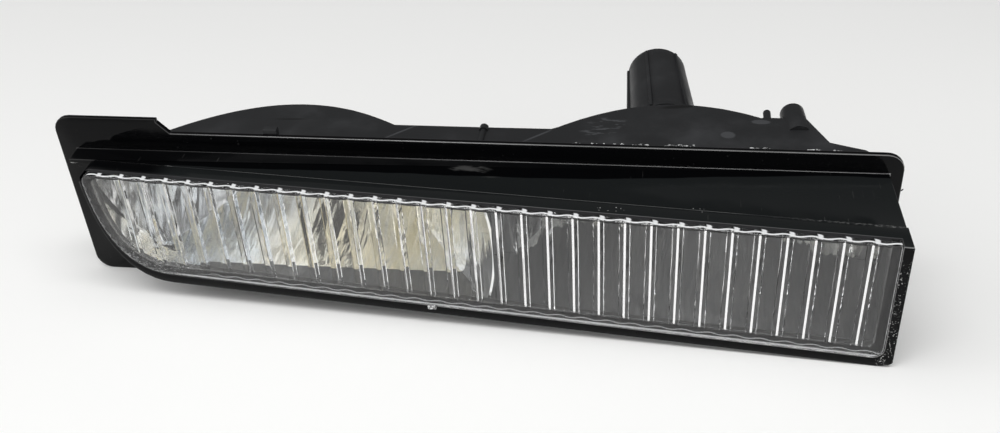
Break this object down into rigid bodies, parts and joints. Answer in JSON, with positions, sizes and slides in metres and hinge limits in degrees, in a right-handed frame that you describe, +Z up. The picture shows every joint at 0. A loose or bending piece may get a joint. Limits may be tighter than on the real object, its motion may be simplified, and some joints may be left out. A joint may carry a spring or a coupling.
{
  "type": "bumper lamp",
  "caption": "Long car front bumper lamp unit with a clear fluted lens in a glossy black bezel, two rear bowls, a ribbed bulb holder and a fixing tube",
  "frame": {"origin": "The middle of the front face of the mounting flange: half of its length, half of the height of its plain part", "axes": "+X along the flange to the end with the fixing tube, +Y backwards into the car, +Z up. The flange lies in the XZ plane and the lens faces -Y"},
  "size_m": [0.35, 0.1693, 0.0812],
  "materials": {
    "bezel_black": "glossy moulded black, lightly scuffed",
    "lens_clear": "clear, fluted on the inside, polished outside",
    "sealant": "dull hardened sealant",
    "housing_black": "dull moulded black",
    "reflector": "metallised, slightly yellowed",
    "bulb_base": "dull grey",
    "seal_red": "dull",
    "bulb_glass": "clear",
    "wire": "satin",
    "filament": "dull",
    "contact": "satin",
    "holder_black": "dull moulded black",
    "seal_black": "dull"
  },
  "bodies": {
    "root": {"front_bezel": "bezel_black", "lens": "lens_clear", "lens_sealant": "sealant", "rear_housing": "housing_black", "joint_sealant": "sealant", "fog_reflector": "reflector", "turn_reflector": "reflector", "fog_bulb_base": "bulb_base", "fog_bulb_seal": "seal_red", "fog_bulb_glass": "bulb_glass", "fog_bulb_leads": "wire", "fog_bulb_filament": "filament", "fog_bulb_pins": "contact", "turn_bulb_holder": "holder_black", "turn_holder_seal": "seal_black", "turn_bulb_cap": "contact", "turn_bulb_glass": "bulb_glass", "turn_bulb_leads": "wire", "turn_bulb_filament": "filament", "turn_holder_blades": "contact"}
  },
  "joints": []
}
